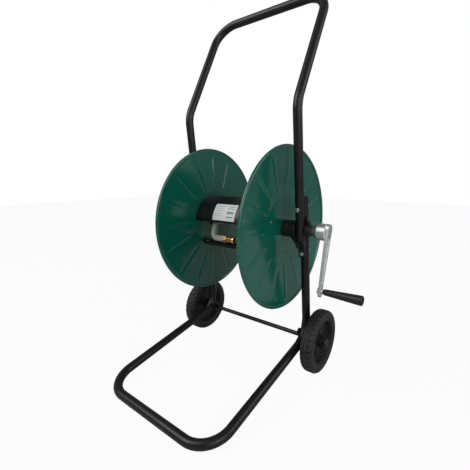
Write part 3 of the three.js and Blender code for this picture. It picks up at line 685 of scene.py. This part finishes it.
for name, centre in PLATES.items():
    drum_plate(f"drum_plate_{name}", centre)


# ---------- screws ----------
def cross_screw():
    """A pan head screw with a cross recess, its seat at x = 0 and its shank towards -X."""
    head = [(0, 0), (0, SCREW_HEAD_R), (1.0, SCREW_HEAD_R), (1.9, 3.1), (SCREW_HEAD, 0)]
    obj = joined("screw", [turned(head, 40, 0.5), threaded(-10.5, 0.2, SCREW_R, 0.8, 0.3)])
    half_length, half_width = 2.2, 0.45
    for y, z in ((half_length, half_width), (half_width, half_length)):
        combine(obj, [extruded([(-y, -z), (y, -z), (y, z), (-y, z)], 1.0, 4)])
    return obj


def shell_of(obj):
    """Takes an object's mesh back as a shell, and removes the object."""
    points = [(vertex.co - REEL) / MM for vertex in obj.data.vertices]
    shell = Shell(points, [list(face.vertices) for face in obj.data.polygons])
    bpy.data.objects.remove(obj)
    return shell


screw = shell_of(cross_screw())
for side_name, side in SIDES.items():
    for i, angle in enumerate(SCREW_ANGLES):
        y, z = polar(SCREW_CIRCLE_R, angle)
        place = shifted(DISC_X + SHEET + GAP, y, z) @ Matrix.Rotation(math.radians(37 * i), 4, "X")
        name = f"drum_screw_{side_name}_{i + 1}"
        piece = to_object(name, [screw.moved(place).on_side(side)])
        finished(piece, "zinc", "reel", name, look="dull_zinc")

# ---------- the label, sleeves and shafts ----------
LABEL_X = (-60, 16)
LABEL_ARC = (134.5, 169.5)
INK = 0.06                                        # thickness of a printed bar


def label():
    """White label with plain grey bars where a maker would print: it carries no lettering."""
    plate = extruded(sector(DRUM_R + GAP, DRUM_R + 2 * GAP, *LABEL_ARC), *LABEL_X)
    finished(to_object("label_plate", [plate]), "paper", "reel", "label_plate")
    low, left, right = LABEL_ARC[0], LABEL_X[0], LABEL_X[1]
    pale = [((low + turn, low + turn + 1.4), (left + 8, left + 34)) for turn in (5, 10, 15, 20, 25)]
    dark = [((low + turn, low + turn + wide), (left + 46, right - 7))
            for turn, wide in ((5, 1.5), (9, 1.5), (16, 5), (26, 2.5))]
    for name, ink, bars in (("label_lines", "pale_ink", pale), ("label_blocks", "ink", dark)):
        marks = [extruded(sector(DRUM_R + 2 * GAP, DRUM_R + 2 * GAP + INK, *arc, 6), *span)
                 for arc, span in bars]
        finished(to_object(name, marks), "paper", "reel", look=ink)


label()

SLEEVE_R, SLEEVE_START, SLEEVE_END = 21.5, DISC_X + SHEET + GAP, 140.5
GROOVE_X, GROOVE_DEPTH = (127.6, 128.6, 130, 131), 0.6
sleeve = turned([
    (SLEEVE_START, SHAFT_R + GAP), (SLEEVE_END, SHAFT_R + GAP), (SLEEVE_END, SLEEVE_R - 1),
    (SLEEVE_END - 1.5, SLEEVE_R), (GROOVE_X[3], SLEEVE_R), (GROOVE_X[2], SLEEVE_R - GROOVE_DEPTH),
    (GROOVE_X[1], SLEEVE_R - GROOVE_DEPTH), (GROOVE_X[0], SLEEVE_R), (SLEEVE_START, SLEEVE_R)], 96, 0.8)
for name, side in SIDES.items():
    piece = to_object(f"hub_sleeve_{name}", [sleeve.on_side(side)])
    finished(piece, "black_plastic", "reel", f"hub_sleeve_{name}")

COLLAR_R = 16
COLLAR_X = (114, DISC_X - GAP)
crank_shaft = turned([
    (COLLAR_X[0], 0), (COLLAR_X[0], COLLAR_R), (COLLAR_X[1], COLLAR_R), (COLLAR_X[1], SHAFT_R),
    (HUB_END_X - 4, SHAFT_R), (HUB_END_X - 4, 0)], 64, 0.8)
finished(to_object("crank_shaft", [crank_shaft]), "steel", "reel", "crank_shaft")

INLET_X = (-204, -236)
BORE = 3.8
HOSE_SEAT = -104
SPINDLE_END = INLET_X[1] + 12
SEAL_R = SHAFT_R - 0.8                            # floor of the seal's groove
inlet_spindle = turned([
    (SPINDLE_END, BORE), (SPINDLE_END, SHAFT_R - 0.5), (SPINDLE_END + 2, SHAFT_R),
    (SPINDLE_END + 5, SHAFT_R), (SPINDLE_END + 5.4, SEAL_R), (SPINDLE_END + 8, SEAL_R),
    (SPINDLE_END + 8.4, SHAFT_R), (-COLLAR_X[1], SHAFT_R), (-COLLAR_X[1], COLLAR_R),
    (-COLLAR_X[0], COLLAR_R), (-COLLAR_X[0], SHAFT_R), (HOSE_SEAT + 9, SHAFT_R),
    (HOSE_SEAT + 12, SHAFT_R - 1), (HOSE_SEAT + 12, BORE)], 64, 0.3)
finished(to_object("inlet_spindle", [inlet_spindle]), "brass", "reel", "inlet_spindle")

# ---------- the hose inside the drum ----------
OUTLET = (-53, -41)
HOSE_END = -38
HOSE_R = 8.5
HOSE_BEND_R = 14
hose_line = bent_line([(HOSE_SEAT, 0, 0), (-78, 0, 0), (-80, OUTLET[1], 4), (-80, *OUTLET),
                       (HOSE_END, *OUTLET)], [HOSE_BEND_R] * 3)
inner_hose = swept(hose_line, HOSE_R, SHAFT_R + 2 * GAP)
finished(to_object("inner_hose", [inner_hose]), "pale_hose", "reel", "inner_hose")


def hose_connector():
    """A barbed tail, a hexagon, a body and an end ring with an open bore."""
    barbs = [(HOSE_END - 14, 0), (HOSE_END - 14, 4.8)]
    for k in range(4):
        barbs += [(HOSE_END - 10.4 + 3.6 * k, SHAFT_R), (HOSE_END - 10.2 + 3.6 * k, 5.1)]
    barbs += [(HOSE_END + 2, 5.1), (HOSE_END + 2, 0)]
    parts = [
        turned(barbs, 48, 0.2),
        hexagon(HOSE_END + 0.4, HOSE_END + 12, 18.2),
        turned([(HOSE_END + 11, 0), (HOSE_END + 11, 8.2), (HOSE_END + 13, 8.2), (HOSE_END + 14, 8.8),
                (HOSE_END + 30, 8.8), (HOSE_END + 30.6, 9.8), (HOSE_END + 38, 9.8),
                (HOSE_END + 38, 0)], 64, 0.5),
    ]
    obj = joined("hose_connector", [part.moved(shifted(0, *OUTLET)) for part in parts])
    bore = turned([(HOSE_END - 15, 0), (HOSE_END - 15, 4), (HOSE_END + 34, 4), (HOSE_END + 39, 6),
                   (HOSE_END + 39, 0)], 40, 0)
    combine(obj, [bore.moved(shifted(0, *OUTLET))])
    finished(obj, "brass", "reel", "hose_connector")


hose_connector()

# ---------- bearings ----------
BEARING_R = 22
BEARING_BORE_R = SHAFT_R + 0.4
HOUSING = (SLEEVE_END + 2 * GAP, TRACK - TUBE_R - 0.5)
SPIGOT_END = TRACK + TUBE_R + 1.5
EAR = (TRACK - 9.5, TRACK + 9)
EAR_TOP = UPPER_END - 2 * GAP
EAR_FRONT, EAR_SHOULDER, EAR_FOOT = -4.6, -14, -74
EAR_BACK = LOWER_OFFSET - TUBE_R - 0.5
WEB_X = 148
CAP_X = (TRACK + TUBE_R + 0.5, 202.4)
CAP_R = (15.5, 15, 12.5)
HEX_ACROSS = 10
NUT_SEAT = LOWER_OFFSET + TUBE_R + GAP


def across_y(outline, y0, y1):
    """A front-view outline of (x, z) points, extruded along Y."""
    return Shell([(x, y, z) for y in (y0, y1) for x, z in outline], extruded(outline, 0, 1).faces)


def bearing_bracket():
    """A round housing, the spigot between the tubes, and the ear that the lower bolt clamps."""
    ear = [(EAR_SHOULDER, EAR_TOP), (EAR_SHOULDER, EAR_TOP - 3), (EAR_FRONT, EAR_TOP - 24),
           (EAR_FRONT, EAR_FOOT + 4), (EAR_FRONT + 3, EAR_FOOT), (EAR_BACK, EAR_FOOT), (EAR_BACK, EAR_TOP)]
    web = [(WEB_X, -8), (HOUSING[1], -8), (HOUSING[1], EAR_TOP), (EAR[0] + 2, EAR_TOP),
           (EAR[0] + 2, EAR_TOP - 22), (EAR[0], EAR_TOP - 22), (EAR[0] - 5, EAR_TOP - 9), (WEB_X, -19)]
    obj = joined("bracket", [
        rod(*HOUSING, BEARING_R, 96, 1.2),
        rod(HOUSING[1] - 2, SPIGOT_END, SPIGOT_R, 64), extruded(ear, *EAR),
        across_y(web, EAR_SHOULDER, EAR_BACK)])
    soften(obj, 0.8, 3)
    combine(obj, [rod(HOUSING[0] - 2, SPIGOT_END + 2, BEARING_BORE_R, 48, 0)])
    combine(obj, [rod(-30, 12, BOLT_R + GAP, 32, 0).moved(shifted(TRACK, 0, LOWER_BOLT) @ TURN_Y)])
    return shell_of(obj).moved(LEANING)


def bearing_cap():
    """The outer bearing cap, with a gusset up the side of the tube."""
    gusset_end = CAP_X[0] + 11
    gusset = [(CAP_X[0], 5), (gusset_end, 5), (gusset_end, 17), (CAP_X[0] + 3, 31), (CAP_X[0], 33)]
    boss = turned([(CAP_X[0], 0), (CAP_X[0], CAP_R[0]), (CAP_X[1] - 5, CAP_R[1]), (CAP_X[1], CAP_R[2]),
                   (CAP_X[1], 0)], 96, 0.8)
    obj = joined("cap", [boss, across_y(gusset, -2, 6)])
    soften(obj, 0.6, 3)
    combine(obj, [rod(CAP_X[0] - 1, SPIGOT_END + GAP, SPIGOT_R + GAP, 48, 0)])
    combine(obj, [rod(CAP_X[0], CAP_X[1] + 1, BEARING_BORE_R, 48, 0)])
    return shell_of(obj).moved(LEANING)


def hex_bolt(along, seat):
    """A hexagon bolt along +Y of the uprights, with its head in front of its seat."""
    head = hexagon(0, 4, HEX_ACROSS).moved(Matrix.Rotation(math.pi, 4, "Z"))
    shank = threaded(-0.5, 32.5 - seat, BOLT_R)
    obj = joined("bolt", [head, shank])
    return shell_of(obj).moved(LEANING @ shifted(TRACK, seat - GAP, along) @ TURN_Y)


def hex_nut(along):
    nut = to_object("nut", [hexagon(0, 5, HEX_ACROSS)])
    combine(nut, [rod(-1, 6, BOLT_R + GAP, 32, 0)])
    return shell_of(nut).moved(LEANING @ shifted(TRACK, NUT_SEAT, along) @ TURN_Y)


def tube_plug():
    """A pressed-in plug with a domed cap."""
    section = [(-12, 0), (-12, 7.6), (-10, 8.9), (0, 8.9), (0, TUBE_R), (1.4, TUBE_R), (2.8, 8), (3, 0)]
    return turned(section).moved(LEANING @ shifted(TRACK, LOWER_OFFSET, LOWER_END + GAP) @ TURN_UP)


FRAME_FITTINGS = {
    "bearing_bracket": (bearing_bracket(), "black_plastic"),
    "bearing_cap": (bearing_cap(), "black_plastic"),
    "upper_bolt": (hex_bolt(UPPER_BOLT, UPPER_OFFSET - TUBE_R), "zinc"),
    "lower_bolt": (hex_bolt(LOWER_BOLT, EAR_FRONT), "zinc"),
    "upper_nut": (hex_nut(UPPER_BOLT), "zinc"),
    "lower_nut": (hex_nut(LOWER_BOLT), "zinc"),
    "tube_plug": (tube_plug(), "black_plastic"),
}
for side_name, side in SIDES.items():
    for kind, (shell, slot) in FRAME_FITTINGS.items():
        name = f"{kind}_{side_name}"
        finished(to_object(name, [shell.on_side(side)]), slot, "cart_frame", name)

# ---------- axle and wheels ----------
AXLE_R = 6
AXLE_END = WHEEL_X[1] + 5
WHEEL_W = WHEEL_X[1] - WHEEL_X[0]
LUG_X = (TRACK - TUBE_R - 4.9, TRACK - TUBE_R - 0.4)
LUG_R = (12, 10)
SPACER_R = 9
TREAD_SLOTS = 36
SLOT = (12.5, 5.0)                                # a tread slot's length and width
SLOT_FLOOR_R = 79.5
GROOVE_FLOOR_R = WHEEL_R - 2.4
WEB = (0.42, 0.55)                                # shares of the wheel's width
RECESS_WEB_R, RECESS_OPEN_R = 52, 56
HUB_R = 15
WHEEL_RIBS = 5
AT_AXLE = shifted(0, AXLE.y, AXLE.z)


def wheel_x(share):
    return WHEEL_X[0] + WHEEL_W * share


def tyre():
    """A tyre with round shoulders, and tread blocks parted by short slots across both shoulders."""
    inner = RIM_R + GAP / 2
    body = turned([
        (wheel_x(0.06), inner), (wheel_x(0.94), inner), (wheel_x(0.965), 64), (wheel_x(1), 69),
        (wheel_x(1), 75), (wheel_x(0.93), 82), (wheel_x(0.78), WHEEL_R - 0.2), (wheel_x(0.5), WHEEL_R),
        (wheel_x(0.22), WHEEL_R - 0.2), (wheel_x(0.07), 82), (wheel_x(0), 75), (wheel_x(0), 69),
        (wheel_x(0.035), 64)], 160, 3.5, 4)
    obj = to_object("tyre", [body])
    slots = []
    half_length, half_width = SLOT[0] / 2, SLOT[1] / 2
    for share, stagger in ((0.11, 0), (0.89, 0.5)):
        across = [(-half_width, SLOT_FLOOR_R), (half_width, SLOT_FLOOR_R), (half_width, WHEEL_R + 5),
                  (-half_width, WHEEL_R + 5)]
        middle = wheel_x(share)
        slot = extruded(across, middle - half_length, middle + half_length)
        for i in range(TREAD_SLOTS):
            turn = Matrix.Rotation((i + stagger) * 2 * math.pi / TREAD_SLOTS, 4, "X")
            slots.append(slot.moved(turn))
    grooves = [ring(wheel_x(share) - 1, wheel_x(share) + 1, GROOVE_FLOOR_R, WHEEL_R + 3, 160, 0)
               for share in (0.38, 0.62)]
    combine(obj, slots)
    combine(obj, grooves)
    bevelled(obj, 0.5, 2, 50)
    return shell_of(obj).moved(AT_AXLE)


def wheel_rim():
    """A moulded wheel centre: a rim with lips, a web set in from the outer face, a hub and five low ribs."""
    seat = RIM_R - GAP / 2
    body = turned([
        (wheel_x(0), 0), (wheel_x(0), HUB_R - 1), (wheel_x(0.03), HUB_R), (wheel_x(WEB[0]), HUB_R + 1.5),
        (wheel_x(WEB[0]), RECESS_WEB_R), (wheel_x(0.1), RECESS_OPEN_R), (wheel_x(0.1), seat),
        (wheel_x(0.9), seat), (wheel_x(0.9), RECESS_OPEN_R), (wheel_x(WEB[1]), RECESS_WEB_R),
        (wheel_x(WEB[1]), HUB_R + 1.5), (wheel_x(0.97), HUB_R), (wheel_x(1), HUB_R - 1),
        (wheel_x(1), 0)], 120, 1.6, 4)
    obj = to_object("rim", [body])
    inner, outer = HUB_R - 2, RECESS_WEB_R + 0.5
    rib = extruded([(-2.2, inner), (2.2, inner), (1.8, outer), (-1.8, outer)], wheel_x(0.5), wheel_x(0.6))
    turns = [Matrix.Rotation(i * 2 * math.pi / WHEEL_RIBS, 4, "X") for i in range(WHEEL_RIBS)]
    combine(obj, [rib.moved(turn) for turn in turns], "UNION")
    combine(obj, [rod(WHEEL_X[0] - 2, WHEEL_X[1] + 2, AXLE_R + 0.4, 48, 0)])
    bevelled(obj, 0.7, 3, 45)
    return shell_of(obj).moved(AT_AXLE)


def rear_bend_middle():
    """The middle of the lower frame's rear bend, as (y, z)."""
    corner = Vector((TRACK, rear_corner.y, rear_corner.z))
    up = (on_upright(TRACK, LOWER_OFFSET, LOWER_END) - corner).normalized()
    down = (Vector((TRACK, *FRONT_BAR)) - corner).normalized()
    half = up.angle(down) / 2
    inward = (up + down).normalized()
    middle = corner + inward * FRAME_RADII[0] * (1 / math.sin(half) - 1)
    return middle.y, middle.z


def axle_lug():
    """The flat lug beside the tube that holds the axle."""
    outline = bar_outline((AXLE.y, AXLE.z), LUG_R[0], rear_bend_middle(), LUG_R[1])
    obj = to_object("lug", [extruded(outline, *LUG_X)])
    combine(obj, [rod(LUG_X[0] - 1, LUG_X[1] + 1, AXLE_R + GAP, 40, 0).moved(AT_AXLE)])
    bevelled(obj, 0.5, 2, 50)
    return shell_of(obj)


axle_cap = turned([
    (AXLE_END + GAP, 0), (AXLE_END + GAP, AXLE_R + GAP), (WHEEL_X[1] + 0.4, AXLE_R + GAP),
    (WHEEL_X[1] + 0.4, 12), (AXLE_END - 1, 12), (AXLE_END + 1.5, 10.6), (AXLE_END + 3, 8),
    (AXLE_END + 3.8, 4.5), (AXLE_END + 4, 0)], 72, 1.2, 4)
axle_spacer = ring(LUG_X[1] + 0.4, WHEEL_X[0] - 0.4, AXLE_R + GAP, SPACER_R, 64, 0.8)
WHEEL_FITTINGS = {
    "tyre": (tyre(), "tyre_rubber", "wheel"),
    "wheel_rim": (wheel_rim(), "wheel_plastic", "wheel"),
    "axle_cap": (axle_cap.moved(AT_AXLE), "black_plastic", "cart_frame"),
    "axle_spacer": (axle_spacer.moved(AT_AXLE), "black_plastic", "cart_frame"),
    "axle_lug": (axle_lug(), "black_tube", "cart_frame"),
}
for side_name, side in SIDES.items():
    for kind, (shell, slot, body) in WHEEL_FITTINGS.items():
        name = f"{kind}_{side_name}"
        body = f"wheel_{side_name}" if body == "wheel" else body
        finished(to_object(name, [shell.on_side(side)]), slot, body, name)

axle_rod = turned([
    (-AXLE_END, 0), (-AXLE_END, AXLE_R - 1), (1 - AXLE_END, AXLE_R), (AXLE_END - 1, AXLE_R),
    (AXLE_END, AXLE_R - 1), (AXLE_END, 0)], 48, 0.2)
finished(to_object("axle_rod", [axle_rod.moved(AT_AXLE)]), "black_tube", "cart_frame", "axle_rod")

# ---------- the crank ----------
PIN_R = 3
AT_SET_SCREW = shifted(226, 0, 0) @ TURN_UP
ARM_END, ARM_END_R = 149, 5.5
CRANK_BORE_R = SHAFT_R + 0.25
SET_SCREW_R = 2.5
HUB_SECTION = [(203, 12.5), (219, 20.5), (HUB_END_X, 20.5)]
arm = Vector((-math.sin(CRANK_TILT), -math.cos(CRANK_TILT)))
pin = arm * CRANK_RADIUS
AT_PIN = shifted(0, pin.x, pin.y)


def crank_arm():
    """A cast hub and arm; the arm's outer face is hollowed to a shallow channel."""
    hub = turned([(HUB_SECTION[0][0], 0), *HUB_SECTION, (HUB_END_X, 0)], 120, 1.5, 4)
    bar = extruded(bar_outline(arm * -8, 12.5, arm * ARM_END, ARM_END_R, 24), *ARM_X)
    obj = joined("arm", [hub, bar])
    channel = bar_outline(arm * 16, 8, arm * (CRANK_RADIUS - 20), 3.4, 24)
    combine(obj, [extruded(channel, ARM_X[1] - 3, ARM_X[1] + 2)])
    soften(obj, 0.6, 3)
    combine(obj, [rod(HUB_SECTION[0][0] - 1, HUB_END_X - 3.5, CRANK_BORE_R, 48, 0),
                  rod(ARM_X[0] - 1, ARM_X[1] + 1, PIN_R + GAP, 40, 0).moved(AT_PIN)])
    combine(obj, [rod(5, 30, SET_SCREW_R + GAP, 32, 0).moved(AT_SET_SCREW)])
    finished(obj, "cast_aluminium", "reel", "crank_arm")


crank_arm()


def set_screw():
    """A socket set screw, standing proud of the hub."""
    obj = to_object("set_screw", [threaded(SHAFT_R + GAP, 23.5, SET_SCREW_R, 0.8, 0.25)])
    combine(obj, [hexagon(20.5, 25, 2.6, 0)])
    shell = shell_of(obj).moved(AT_SET_SCREW)
    finished(to_object("set_screw", [shell]), "zinc", "reel", "set_screw")


set_screw()

RECESS_X, RECESS_R = GRIP_X[1] - 7, 7.4
grip_pin = turned([
    (ARM_X[0] - 4, 0), (ARM_X[0] - 4, 4), (ARM_X[0] - 2.5, 7), (ARM_X[0] - GAP, 7),
    (ARM_X[0] - GAP, PIN_R), (ARM_X[1] + GAP, PIN_R), (ARM_X[1] + GAP, 6), (GRIP_X[0] - GAP, 6),
    (GRIP_X[0] - GAP, PIN_R), (RECESS_X + GAP, PIN_R), (RECESS_X + GAP, 6.6), (RECESS_X + 2.6, 6.6),
    (RECESS_X + 4, 4), (RECESS_X + 4, 0)], 64, 0.4)
finished(to_object("grip_pin", [grip_pin.moved(AT_PIN)]), "zinc", "reel", "grip_pin")
crank_grip = turned([
    (GRIP_X[0], PIN_R + GAP), (RECESS_X, PIN_R + GAP), (RECESS_X, RECESS_R), (GRIP_X[1], RECESS_R),
    (GRIP_X[1], 10.2), (GRIP_X[1] - 1.5, 11.4), (GRIP_X[1] - 8, 11.3), (GRIP_X[0] + 4, 7.3),
    (GRIP_X[0], 6)], 96, 1.2, 4)
finished(to_object("crank_grip", [crank_grip.moved(AT_PIN)]), "black_plastic", "grip", "crank_grip")

# ---------- the inlet swivel ----------
SWIVEL_R = 13
SWIVEL_MIDDLE = INLET_X[1] + 11
OUTLET_LENGTH = 36
WATERWAY_R = 4.5
HANGING = shifted(SWIVEL_MIDDLE, 0, 0) @ TURN_DOWN


def inlet_swivel():
    """The swivel body on the spindle, with its outlet hanging down."""
    body = turned([
        (INLET_X[1], 0), (INLET_X[1], 8), (INLET_X[1] + 1.5, 11.5), (INLET_X[1] + 4, SWIVEL_R),
        (INLET_X[0] - 12, SWIVEL_R), (INLET_X[0] - 11.5, 11.8), (INLET_X[0] - 9, 11.8),
        (INLET_X[0] - 8.5, SWIVEL_R), (INLET_X[0] - 1, SWIVEL_R), (INLET_X[0], 12),
        (INLET_X[0], 0)], 96, 0.5)
    branch = turned([(0, 0), (0, 9), (OUTLET_LENGTH - 5, 9), (OUTLET_LENGTH - 4.6, 8.2),
                     (OUTLET_LENGTH, 8.2), (OUTLET_LENGTH, 0)], 72, 0.3)
    obj = joined("inlet_swivel", [body, branch.moved(HANGING)])
    bevelled(obj, 0.8, 3, 60)
    combine(obj, [rod(SPINDLE_END - GAP, INLET_X[0] + 1, SHAFT_R + 0.35, 48, 0)])
    combine(obj, [rod(INLET_X[1] + 3, SPINDLE_END, 5, 48, 0)])
    combine(obj, [rod(0, OUTLET_LENGTH + 1, WATERWAY_R, 48, 0).moved(HANGING)])
    finished(obj, "brass", "inlet", "inlet_swivel")


def tap_connector():
    """A ribbed collar with a plain nose, open right through."""
    collar_r, lobes, dip, segments = 12.5, 20, 0.7, 240
    collar = turned([
        (OUTLET_LENGTH + GAP, 0), (OUTLET_LENGTH + GAP, collar_r - 1), (OUTLET_LENGTH + 1.3, collar_r - 0.3),
        (OUTLET_LENGTH + 9, collar_r - 0.3), (OUTLET_LENGTH + 10, collar_r - 1.2),
        (OUTLET_LENGTH + 10, 0)], segments, 0.3)
    per_segment = len(collar.points) // segments
    for k, point in enumerate(collar.points):
        angle = 2 * math.pi * (k // per_segment) / segments
        if point.yz.length > collar_r - 2:
            share = 1 - dip * max(0, math.cos(lobes * angle)) ** 2 / point.yz.length
            point.y, point.z = point.y * share, point.z * share
    nose = turned([(OUTLET_LENGTH + 9, 0), (OUTLET_LENGTH + 9, 8.5), (OUTLET_LENGTH + 14, 8.5),
                   (OUTLET_LENGTH + 14.5, 7.9), (OUTLET_LENGTH + 17, 7.9), (OUTLET_LENGTH + 17.5, 8.5),
                   (OUTLET_LENGTH + 26, 8.5), (OUTLET_LENGTH + 26, 0)], 72, 0.4)
    obj = joined("tap_connector", [collar.moved(HANGING), nose.moved(HANGING)])
    combine(obj, [rod(OUTLET_LENGTH - 1, OUTLET_LENGTH + 27, WATERWAY_R, 48, 0).moved(HANGING)])
    finished(obj, "black_plastic", "inlet", "tap_connector")


inlet_swivel()
tap_connector()
